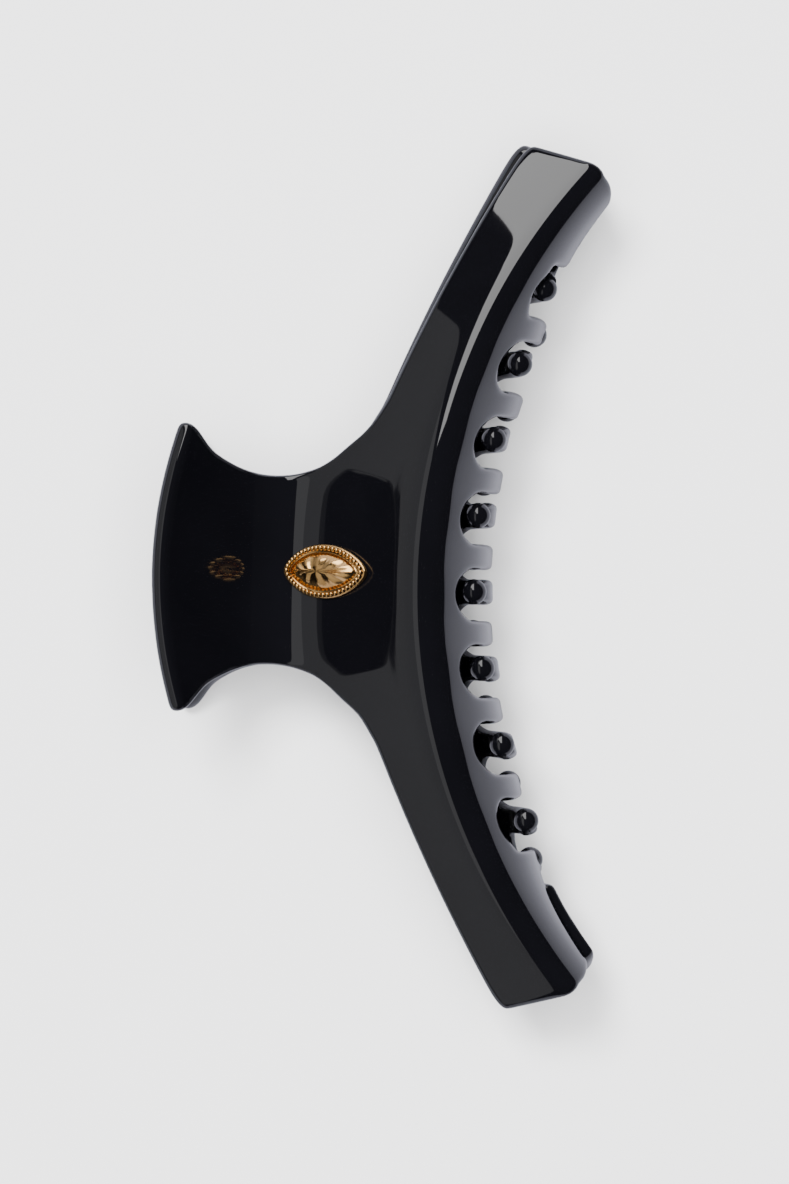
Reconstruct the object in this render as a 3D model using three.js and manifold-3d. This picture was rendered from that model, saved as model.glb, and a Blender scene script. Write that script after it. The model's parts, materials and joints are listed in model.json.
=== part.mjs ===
// A large jaw hair clip, lying on its side. Two equal moulded jaws turn on a riveted pin,
// a torsion spring holds their toothed edges shut, and a cast ornament sits on the upper jaw.
// Millimetres. +X runs from the finger tabs to the teeth, +Y along the row of teeth, +Z up.
// Everything is first drawn around the middle of the clip, where the jaws' edges meet at z = 0.
import * as THREE from 'three';
import { mergeVertices } from 'three/addons/utils/BufferGeometryUtils.js';
import Module from 'manifold-3d';

const wasm = await Module();
wasm.setup();

// ---- driving dimensions ----
const HALF_HEIGHT = 20;          // from the meeting plane to the top of the ridge
const WALL = 2.6;                // thickness of the moulding
const GAP = 0.3;                 // clearance kept between neighbouring pieces
const ARM_END_Y = 65.1;          // half length of the clip
const RIDGE_ARC_R = 93;          // plan radius of the curved ridge
const RIDGE_X = 21.6;            // where the ridge's far side slopes at 45 degrees, at y = 0
const RIDGE_FALL = 350;          // the ridge drops by y^2 / RIDGE_FALL towards the arm ends
const RIDGE_ROUND = 4.5;         // radius over the top of the ridge
const RISE_ANGLE = THREE.MathUtils.degToRad(43.5);  // slope of the plate as it reaches the ridge
const ROLL_ANGLE = THREE.MathUtils.degToRad(52);    // slope where the flange begins
const FLANGE_REACH = 7.8;        // how far the flange bulges past the ridge in the middle
const FLANGE_REACH_END = 4.6;    // the same on the arms' toothless ends
const FLANGE_UPRIGHT_Z = -5;     // height at which the flange or tooth stands upright
const STEEPNESS_LIMIT = 0.47;    // keeps the flange's ellipse real where the arms get low
const REACH_FADE = [28, 52];     // the reach eases from one to the other between these y
const RIM_HEIGHT = 0.2;          // half the gap between the jaws' rims

const VALLEY_X = -2.4;           // bottom of the dip over the hinge
const VALLEY_Z = 6.3;
const VALLEY_SOFTNESS = 7.3;     // half width of the dip's rounding
const TAB_SLOPE = 0.98;          // rise that the finger tab tends to
const PLATE_SLOPE = 1.05;        // rise that the plate tends to
const FALL_FADE = 0.4;           // share of the plate's length over which the ridge's fall sets in

const TAB_END_R = 66;            // curved end of the finger tab
const TAB_END_X = -22.3;
const TAB_HALF_WIDTH = 21.7;
const TAB_CORNER_R = 2;
const TAB_CORNER_X = -17.2;
const NECK_R = 12.9;             // hollow sides of the neck
const NECK_CENTRE = [-3.8, 27];
const SHOULDER = [9.2, 21.3];    // where the neck runs into the arm's rear edge
const ARM_EDGE_START = [11.9, 25.7];
const ARM_EDGE_LEAN = 0.42;      // the rear edge leans outwards by this
const ARM_EDGE_BOW = 0.0021;     // and bows very slightly
const ARM_EDGE_STEP = 5.3;
const ARM_END_ROUND = 0.9;       // the rear corner of the arm's end
const ARM_TIP = [[32.9, 65.1], [41, 61.5], [44.2, 58.7], [46.2, 55]];

const TOOTH_PITCH = 11.34;
const TOOTH_COUNT = 8;
const FIRST_TOOTH_Y = -42.5;
const TOOTH_WIDTH = 3.9;
const NOTCH_START_X = 2.1;       // the notches between teeth stop this far past the ridge line
const NOTCH_ROUND_X = 2.4;       // and reach their full width over this length
const NOTCH_CLEAR_Z = 9;         // below this height a notch is cut right through
const TOOTH_CURL_R = 16;         // radius in which the teeth's lower ends curl inwards
const TIP_Z = -12;               // centre height of the ball on the middle teeth's tips
const TIP_LIFT = 1.2;            // outer teeth are shorter: tips rise by this share of the ridge's fall
const BALL_R = 1.9;
const OUTERMOST_TOOTH_Y = 45;

const PIN_X = -1.5;              // hinge axis, along Y at z = 0
const PIN_R = 0.9;
const PIN_HALF_LENGTH = 13.3;
const PIN_HEAD_R = 1.7;
const PIN_HEAD_HEIGHT = 0.8;
const LUG_R = 2.7;
const LUG_BORE_R = PIN_R + GAP;
const LUG_TOP_Z = 5.4;           // the lug's web ends inside the plate
const OUTER_LUG = [8.6, 12.4];   // y of the lug's faces
const INNER_LUG = [-7.9, -5.3];
const SIDE_PLAY = THREE.MathUtils.degToRad(1.1);    // the upper jaw sits this much askew on its pin

const WIRE_R = 0.45;
const COIL_R = 2.1;
const COIL_TURNS = 7;
const COIL_HALF_LENGTH = 4.4;
const LEG_END = [-11.5, 6.6];    // x from the pin and height of the leg's end under the tab

const ORNAMENT_X = 4.1;
const ORNAMENT_LENGTH = 13;
const ORNAMENT_WIDTH = 8;
const ORNAMENT_EDGE = 0.7;       // thickness at the rim
const ORNAMENT_CROWN = 1.7;      // extra height in the middle
const ORNAMENT_TAPER = 0.8;      // share of the width lost at the ends
const PEG_R = 0.7;
const PEG_OFFSET = 3.2;

const FAR = 80;                  // past the clip on every side

// ---- helpers ----
const clamp01 = (t) => Math.min(1, Math.max(0, t));
const smooth = (t) => clamp01(t) ** 2 * (3 - 2 * clamp01(t));
const softCorner = (d, r) => Math.sqrt(d * d + r * r) - r;

function solid(geometry) {
  const bare = geometry.clone();
  for (const name of ['normal', 'uv']) bare.deleteAttribute(name);
  const merged = mergeVertices(bare, 1e-5);
  const vertProperties = new Float32Array(merged.attributes.position.array);
  const triVerts = new Uint32Array(merged.index.array);
  return new wasm.Manifold(new wasm.Mesh({ numProp: 3, vertProperties, triVerts }));
}

function geometryOf(manifold) {
  const mesh = manifold.getMesh();
  const geometry = new THREE.BufferGeometry();
  geometry.setAttribute('position', new THREE.BufferAttribute(mesh.vertProperties, 3));
  geometry.setIndex(new THREE.BufferAttribute(mesh.triVerts, 1));
  const flat = geometry.toNonIndexed();
  flat.computeVertexNormals();
  return flat;
}

function box(x, y, z) {
  const geometry = new THREE.BoxGeometry(x[1] - x[0], y[1] - y[0], z[1] - z[0]);
  return geometry.translate((x[0] + x[1]) / 2, (y[0] + y[1]) / 2, (z[0] + z[1]) / 2);
}

// A cylinder along Y, around the hinge axis.
function barrel(radius, y, sides = 24) {
  const geometry = new THREE.CylinderGeometry(radius, radius, y[1] - y[0], sides);
  return geometry.translate(PIN_X, (y[0] + y[1]) / 2, 0);
}

// Moves every vertex of a geometry by a function of its place.
function bend(geometry, place) {
  const position = geometry.attributes.position;
  const p = new THREE.Vector3();
  for (let i = 0; i < position.count; i += 1) {
    p.fromBufferAttribute(position, i);
    const q = place(p.x, p.y, p.z);
    position.setXYZ(i, q.x, q.y, q.z);
  }
  return geometry;
}

// ---- the outer surface of a jaw ----
const ridgeX = (y) => RIDGE_X + RIDGE_ARC_R - Math.sqrt(RIDGE_ARC_R ** 2 - y * y);
const ridgeTop = (y) => HALF_HEIGHT - (y * y) / RIDGE_FALL;
const ridgeTopX = (y) => ridgeX(y) - RIDGE_ROUND * Math.SQRT1_2;
const plateEndX = (y) => ridgeTopX(y) - RIDGE_ROUND * Math.sin(RISE_ANGLE);

// Height of the tab, dip and plate along the middle of the clip.
function middleHeight(x) {
  const lean = (PLATE_SLOPE - TAB_SLOPE) / 2;
  const turn = (PLATE_SLOPE + TAB_SLOPE) / 2;
  const fromValley = x - VALLEY_X;
  return VALLEY_Z + lean * fromValley + turn * softCorner(fromValley, VALLEY_SOFTNESS);
}

// The plate keeps the middle's profile, stretched so that it always ends at the ridge.
function plateHeight(x, y) {
  const length = plateEndX(y) - VALLEY_X;
  const middleLength = plateEndX(0) - VALLEY_X;
  const stretch = x > VALLEY_X ? middleLength / length : 1;
  const along = (x - VALLEY_X) / length;
  const joinError = ridgeTop(0) - RIDGE_ROUND * (1 - Math.cos(RISE_ANGLE)) - middleHeight(plateEndX(0));
  const fall = ((y * y) / RIDGE_FALL) * smooth(along / FALL_FADE);
  return middleHeight(VALLEY_X + (x - VALLEY_X) * stretch) + joinError * clamp01(along) - fall;
}

function flangeReach(y) {
  const fade = smooth((Math.abs(y) - REACH_FADE[0]) / (REACH_FADE[1] - REACH_FADE[0]));
  return THREE.MathUtils.lerp(FLANGE_REACH, FLANGE_REACH_END, fade);
}

// The flange is a part of an ellipse that starts at the ridge's slope and ends upright.
function flangeShape(y) {
  const startX = ridgeTopX(y) + RIDGE_ROUND * Math.sin(ROLL_ANGLE);
  const reach = ridgeX(y) + flangeReach(y) - startX;
  const height = ridgeTop(y) - RIDGE_ROUND * (1 - Math.cos(ROLL_ANGLE)) - FLANGE_UPRIGHT_Z;
  const slope = Math.tan(ROLL_ANGLE);
  const steepness = Math.min((slope * reach) / height, STEEPNESS_LIMIT);
  const startTangent = steepness / Math.sqrt(1 - 2 * steepness);
  const start = Math.atan(startTangent);
  const b = height / Math.cos(start);
  const a = (b * startTangent) / slope;
  return { startX, start, a, b, endX: startX + a * (1 - Math.sin(start)) };
}

function flangePoint(y, share) {
  const { startX, start, a, b } = flangeShape(y);
  const angle = THREE.MathUtils.lerp(start, Math.PI / 2, share);
  return [startX + a * (Math.sin(angle) - Math.sin(start)), FLANGE_UPRIGHT_Z + b * Math.cos(angle)];
}

// Below that the teeth curl inwards in a circle.
function toothPoint(y, share) {
  const tipZ = TIP_Z + (TIP_LIFT * Math.min(y * y, OUTERMOST_TOOTH_Y ** 2)) / RIDGE_FALL;
  const angle = share * Math.asin((FLANGE_UPRIGHT_Z - tipZ) / TOOTH_CURL_R);
  const inwards = TOOTH_CURL_R * (1 - Math.cos(angle));
  return [flangeShape(y).endX - inwards, FLANGE_UPRIGHT_Z - TOOTH_CURL_R * Math.sin(angle)];
}

// Runs from the tab's end, s = 0, over the ridge to the tooth tips, s = 1.
const RIDGE_FROM = 0.46;
const FLANGE_FROM = 0.62;
const TOOTH_FROM = 0.88;
const SHEET_START_X = -25;
function outerPoint(s, y) {
  if (s < RIDGE_FROM) {
    const x = THREE.MathUtils.lerp(SHEET_START_X, plateEndX(y), s / RIDGE_FROM);
    return new THREE.Vector3(x, y, plateHeight(x, y));
  }
  if (s < FLANGE_FROM) {
    const turn = THREE.MathUtils.mapLinear(s, RIDGE_FROM, FLANGE_FROM, -RISE_ANGLE, ROLL_ANGLE);
    return new THREE.Vector3(ridgeTopX(y) + RIDGE_ROUND * Math.sin(turn), y,
      ridgeTop(y) - RIDGE_ROUND * (1 - Math.cos(turn)));
  }
  const [x, z] = s < TOOTH_FROM
    ? flangePoint(y, (s - FLANGE_FROM) / (TOOTH_FROM - FLANGE_FROM))
    : toothPoint(y, (s - TOOTH_FROM) / (1 - TOOTH_FROM));
  return new THREE.Vector3(x, y, z);
}

function outerNormal(s, y) {
  const step = 1e-3;
  const alongS = outerPoint(s + step, y).sub(outerPoint(s - step, y));
  const alongY = outerPoint(s, y + step).sub(outerPoint(s, y - step));
  return alongS.cross(alongY).normalize();
}

// ---- a jaw ----
const SHEET_ROWS = 25;
const SHEET_COLUMNS = 26;
function jawSheet() {
  const half = ARM_END_Y + 1.5;
  const blank = new THREE.BoxGeometry(1, 2 * half, 1, SHEET_ROWS, SHEET_COLUMNS, 1);
  return solid(bend(blank, (x, y, z) => {
    const s = x + 0.5;
    return outerPoint(s, y).addScaledVector(outerNormal(s, y), (z - 0.5) * WALL);
  }));
}

function arcPoints(centre, radius, fromDegrees, toDegrees, steps) {
  return Array.from({ length: steps + 1 }, (_, i) => {
    const angle = THREE.MathUtils.degToRad(THREE.MathUtils.lerp(fromDegrees, toDegrees, i / steps));
    return [centre[0] + radius * Math.cos(angle), centre[1] + radius * Math.sin(angle)];
  });
}

// The plan outline, drawn for y > 0 and mirrored, and open past the teeth.
function jawOutline() {
  const cornerAt = [TAB_CORNER_X, TAB_HALF_WIDTH - TAB_CORNER_R];
  const roundY = ARM_END_Y - ARM_END_ROUND;
  const half = [
    ...arcPoints([TAB_END_X + TAB_END_R, 0], TAB_END_R, 180, 163, 6),
    ...arcPoints(cornerAt, TAB_CORNER_R, 160, 50, 4),
    ...arcPoints(NECK_CENTRE, NECK_R, 218, 319, 12),
    SHOULDER,
  ];
  for (let y = ARM_EDGE_START[1]; y < roundY; y += ARM_EDGE_STEP) half.push([armEdgeX(y), y]);
  half.push([armEdgeX(roundY), roundY], ...ARM_TIP, [FAR, ARM_TIP[3][1]]);
  const mirrored = half.slice(1).reverse().map(([x, y]) => [x, -y]);
  const shape = new THREE.Shape([...half, ...mirrored].map(([x, y]) => new THREE.Vector2(x, y)));
  const prism = new THREE.ExtrudeGeometry(shape, { depth: FAR, bevelEnabled: false });
  return solid(prism.translate(0, 0, -FAR / 2));
}

// The arms' rear edge bows very slightly outwards.
function armEdgeX(y) {
  const from = y - ARM_EDGE_START[1];
  return ARM_EDGE_START[0] + ARM_EDGE_LEAN * from + ARM_EDGE_BOW * from * from;
}

const toothY = (index) => FIRST_TOOTH_Y + index * TOOTH_PITCH;

// The space between two teeth, with a half-round bottom, open towards the teeth's side.
function notchCutter(fromY, toY) {
  const middleY = (fromY + toY) / 2;
  const startX = ridgeX(middleY) + NOTCH_START_X;
  const fullX = startX + NOTCH_ROUND_X;
  const shape = new THREE.Shape();
  shape.moveTo(FAR, fromY);
  shape.lineTo(FAR, toY);
  shape.absellipse(fullX, middleY, NOTCH_ROUND_X, (toY - fromY) / 2, Math.PI / 2, Math.PI * 1.5, false);
  const cutter = new THREE.ExtrudeGeometry(shape, { depth: FAR, bevelEnabled: false, curveSegments: 5 });
  const below = box([startX - WALL, FAR], [fromY, toY], [-FAR / 2, NOTCH_CLEAR_Z]);
  return solid(cutter.translate(0, 0, -FAR / 2)).add(solid(below));
}

function toothTip(y) {
  const outer = outerPoint(1, y);
  const centre = outer.addScaledVector(outerNormal(0.999, y), -WALL / 2);
  return solid(new THREE.SphereGeometry(BALL_R, 12, 8).translate(centre.x, y, centre.z));
}

function hingeLug(y) {
  const lug = solid(barrel(LUG_R, y));
  return lug.add(solid(box([PIN_X - LUG_R, PIN_X + LUG_R], y, [0, LUG_TOP_Z])));
}

function jawSolid() {
  const half = TOOTH_WIDTH / 2;
  let jaw = jawSheet().intersect(jawOutline());
  for (let i = 0; i < TOOTH_COUNT; i += 1) {
    jaw = jaw.subtract(notchCutter(toothY(i) + half, toothY(i + 1) - half));
  }
  const lastNotchEnd = toothY(TOOTH_COUNT) - half;
  const below = [-FAR / 2, RIM_HEIGHT];
  jaw = jaw.subtract(solid(box([0, FAR], [lastNotchEnd - 0.01, FAR], below)));
  jaw = jaw.subtract(solid(box([0, FAR], [-FAR, toothY(0) - half], below)));
  for (let i = 0; i < TOOTH_COUNT; i += 1) {
    jaw = jaw.add(toothTip(toothY(i)));
  }
  jaw = jaw.add(hingeLug(OUTER_LUG)).add(hingeLug(INNER_LUG));
  return jaw.subtract(solid(barrel(LUG_BORE_R, [-20, 20])));
}

// ---- the ornament ----
// Lays a flat form on the plate: x and y in plan, z outwards from the surface.
function onPlate(x, y, z) {
  const s = (RIDGE_FROM * (ORNAMENT_X + x - SHEET_START_X)) / (plateEndX(0) - SHEET_START_X);
  return outerPoint(s, y).addScaledVector(outerNormal(s, y), z);
}

function pegAt(x, radius, from, to) {
  const peg = new THREE.CylinderGeometry(radius, radius, to - from, 14);
  const normal = onPlate(x, 0, 1).sub(onPlate(x, 0, 0));
  const centre = onPlate(x, 0, (from + to) / 2);
  const turn = new THREE.Quaternion().setFromUnitVectors(new THREE.Vector3(0, 1, 0), normal);
  peg.applyQuaternion(turn);
  return solid(peg.translate(centre.x, centre.y, centre.z));
}

function ornamentSolid() {
  const blank = new THREE.BoxGeometry(ORNAMENT_LENGTH, ORNAMENT_WIDTH, 1, 14, 8, 1);
  let ornament = solid(bend(blank, (x, y, z) => {
    const end = (2 * x) / ORNAMENT_LENGTH;
    const side = (2 * y) / ORNAMENT_WIDTH;
    const crown = ORNAMENT_CROWN * (1 - end * end) * (1 - side * side);
    const height = z > 0 ? ORNAMENT_EDGE + crown : 0;
    return onPlate(x, y * (1 - ORNAMENT_TAPER * end * end), GAP + height);
  }));
  for (const x of [-PEG_OFFSET, PEG_OFFSET]) {
    ornament = ornament.add(pegAt(x, PEG_R, -WALL, GAP + ORNAMENT_EDGE / 2));
  }
  return ornament;
}

// ---- the hinge ----
function hingePin() {
  const length = PIN_HALF_LENGTH;
  const profile = [
    [0, -length - PIN_HEAD_HEIGHT], [PIN_HEAD_R * 0.7, -length - PIN_HEAD_HEIGHT * 0.8],
    [PIN_HEAD_R, -length], [PIN_R, -length], [PIN_R, length], [PIN_HEAD_R, length],
    [PIN_HEAD_R * 0.7, length + PIN_HEAD_HEIGHT * 0.8], [0, length + PIN_HEAD_HEIGHT],
  ];
  const pin = new THREE.LatheGeometry(profile.map(([r, y]) => new THREE.Vector2(r, y)), 24);
  return solid(pin.translate(PIN_X, 0, 0));
}

// The spring's wire: a leg, the coil around the pin, and the other leg.
class SpringWire extends THREE.Curve {
  constructor() {
    super();
    const reach = Math.hypot(...LEG_END);
    const leave = Math.atan2(LEG_END[1], LEG_END[0]) + Math.acos(COIL_R / reach);
    this.start = 2 * Math.PI - leave;
    this.sweep = 2 * this.start + COIL_TURNS * 2 * Math.PI;
    this.leg = Math.sqrt(reach * reach - COIL_R * COIL_R);
    this.coil = this.sweep * COIL_R;
  }

  getPoint(t) {
    const along = t * (2 * this.leg + this.coil);
    const onCoil = THREE.MathUtils.clamp(along - this.leg, 0, this.coil);
    const past = along - this.leg - onCoil;
    const angle = this.start - (onCoil / this.coil) * this.sweep;
    const y = THREE.MathUtils.lerp(-COIL_HALF_LENGTH, COIL_HALF_LENGTH, onCoil / this.coil);
    return new THREE.Vector3(
      PIN_X + COIL_R * Math.cos(angle) + past * Math.sin(angle),
      y,
      COIL_R * Math.sin(angle) - past * Math.cos(angle),
    );
  }
}

function torsionSpring() {
  const section = new THREE.Shape().absarc(0, 0, WIRE_R, 0, Math.PI * 2, false);
  const options = { steps: 120, curveSegments: 4, bevelEnabled: false, extrudePath: new SpringWire() };
  return solid(new THREE.ExtrudeGeometry(section, options));
}

// ---- the assembly ----
const materials = {
  acetate: { color: 0x08080c, roughness: 0.08, metalness: 0 },
  steel: { color: 0xb4b6b8, roughness: 0.3, metalness: 1 },
  springSteel: { color: 0x8c8e92, roughness: 0.35, metalness: 1 },
  gold: { color: 0xd6a866, roughness: 0.18, metalness: 1 },
};

function piece(name, manifold, finish) {
  const mesh = new THREE.Mesh(geometryOf(manifold), new THREE.MeshStandardMaterial(materials[finish]));
  mesh.name = name;
  return mesh;
}

const jaw = jawSolid();
let upperJawBody = jaw;
for (const x of [-PEG_OFFSET, PEG_OFFSET]) {
  upperJawBody = upperJawBody.subtract(pegAt(x, PEG_R + GAP, -WALL - 2, 2));
}

const upper = new THREE.Group();
upper.add(piece('upper_jaw', upperJawBody, 'acetate'), piece('ornament', ornamentSolid(), 'gold'));
for (const mesh of upper.children) mesh.position.set(-PIN_X, 0, 0);
upper.position.set(PIN_X, 0, 0);
upper.rotation.z = -SIDE_PLAY;

const lowerJaw = piece('lower_jaw', jaw, 'acetate');
lowerJaw.rotation.x = Math.PI;

const clip = new THREE.Group();
clip.add(lowerJaw, upper);
clip.add(piece('hinge_pin', hingePin(), 'steel'), piece('torsion_spring', torsionSpring(), 'springSteel'));

// The origin is under the middle of the whole clip, on the surface that it lies on.
const extent = new THREE.Box3().setFromObject(clip, true);
const middle = extent.getCenter(new THREE.Vector3());
clip.position.set(-middle.x, -middle.y, -extent.min.z);

export default clip;
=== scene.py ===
"""Looks of a large jaw hair clip with an ornament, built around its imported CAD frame."""
import json
import logging
import math
from dataclasses import dataclass, field
from enum import Enum
from typing import Callable, Dict, List, Sequence, Tuple

import bmesh
import bpy
from mathutils import Matrix, Vector


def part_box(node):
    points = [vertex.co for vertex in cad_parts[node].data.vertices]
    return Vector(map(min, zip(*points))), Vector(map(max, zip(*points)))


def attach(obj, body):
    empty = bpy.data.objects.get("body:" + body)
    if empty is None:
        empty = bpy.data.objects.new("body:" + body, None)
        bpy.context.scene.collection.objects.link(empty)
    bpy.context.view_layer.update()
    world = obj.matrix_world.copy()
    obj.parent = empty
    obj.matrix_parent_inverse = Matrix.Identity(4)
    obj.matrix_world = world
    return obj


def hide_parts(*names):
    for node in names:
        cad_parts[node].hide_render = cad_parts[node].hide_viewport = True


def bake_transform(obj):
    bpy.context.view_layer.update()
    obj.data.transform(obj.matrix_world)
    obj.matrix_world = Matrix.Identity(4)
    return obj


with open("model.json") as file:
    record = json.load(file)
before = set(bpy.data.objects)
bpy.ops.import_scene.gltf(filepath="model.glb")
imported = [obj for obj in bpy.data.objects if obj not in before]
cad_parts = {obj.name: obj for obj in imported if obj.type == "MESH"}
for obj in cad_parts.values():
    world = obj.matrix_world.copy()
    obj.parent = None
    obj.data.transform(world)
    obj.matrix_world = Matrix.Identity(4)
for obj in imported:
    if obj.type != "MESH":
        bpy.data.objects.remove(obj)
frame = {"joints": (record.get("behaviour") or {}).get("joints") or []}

LOG = logging.getLogger("clip")
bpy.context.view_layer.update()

# ---- driving dimensions of the clip, in its own millimetres, measured from its middle ----
ARM_END_Y = 65.1          # half length
PIN_X = -1.5              # hinge axis, along Y at half height
WALL = 2.6                # thickness of the moulding
SIDE_PLAY = math.radians(1.1)   # the upper jaw sits this much askew on its pin
TOOTH_PITCH = 11.34
TOOTH_COUNT = 8
FIRST_TOOTH_Y = -42.5
TOOTH_WIDTH = 3.9

Point = Tuple[float, float]


def clamp01(value: float) -> float:
    """Limits a number to 0..1.

    Args:
        value: any number.
    Returns:
        The limited number.
    """
    return min(1.0, max(0.0, value))


def smooth(value: float) -> float:
    """Eases a number from 0 to 1.

    Args:
        value: position, limited to 0..1.
    Returns:
        The eased position.
    """
    held = clamp01(value)
    return held * held * (3 - 2 * held)


def lerp(start: float, end: float, share: float) -> float:
    """Mixes two numbers.

    Args:
        start: value at share 0.
        end: value at share 1.
        share: position between them.
    Returns:
        The mixed number.
    """
    return start + (end - start) * share


def along_path(points: Sequence[Point], share: float) -> Point:
    """Finds a point on a chain of straight pieces.

    Args:
        points: corners of the chain.
        share: part of the whole length, 0..1.
    Returns:
        The point there.
    """
    lengths = [math.dist(a, b) for a, b in zip(points, points[1:])]
    left = clamp01(share) * sum(lengths)
    for (a, b), length in zip(zip(points, points[1:]), lengths):
        if left <= length + 1e-9:
            part = left / length
            return (lerp(a[0], b[0], part), lerp(a[1], b[1], part))
        left -= length
    return points[-1]


@dataclass(frozen=True)
class Placement:
    """Where the clip's own millimetres lie in the shared frame."""

    centre: Vector
    unit: float

    @classmethod
    def from_frame(cls) -> "Placement":
        """Reads the hinge and the lower jaw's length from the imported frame.

        Returns:
            The placement.
        """
        low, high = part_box("lower_jaw")
        hinge = Vector(frame["joints"][0]["pos_m"])
        unit = (high.y - low.y) / (2 * ARM_END_Y)
        centre = Vector((hinge.x - PIN_X * unit, (low.y + high.y) / 2, hinge.z))
        return cls(centre, unit)

    def lower(self) -> Matrix:
        """Gives the lower jaw's place.

        Returns:
            A matrix from the jaw's millimetres to the frame.
        """
        flip = Matrix.Rotation(math.pi, 4, "X")
        return Matrix.Translation(self.centre) @ Matrix.Scale(self.unit, 4) @ flip

    def upper(self) -> Matrix:
        """Gives the upper jaw's place, a little askew about its pin.

        Returns:
            A matrix from the jaw's millimetres to the frame.
        """
        pin = Matrix.Translation((PIN_X, 0, 0))
        askew = pin @ Matrix.Rotation(-SIDE_PLAY, 4, "Z") @ pin.inverted()
        return Matrix.Translation(self.centre) @ Matrix.Scale(self.unit, 4) @ askew

    def middle(self) -> Matrix:
        """Gives the place of the hinge's own pieces.

        Returns:
            A matrix from the clip's millimetres to the frame.
        """
        return Matrix.Translation(self.centre) @ Matrix.Scale(self.unit, 4)


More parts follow.
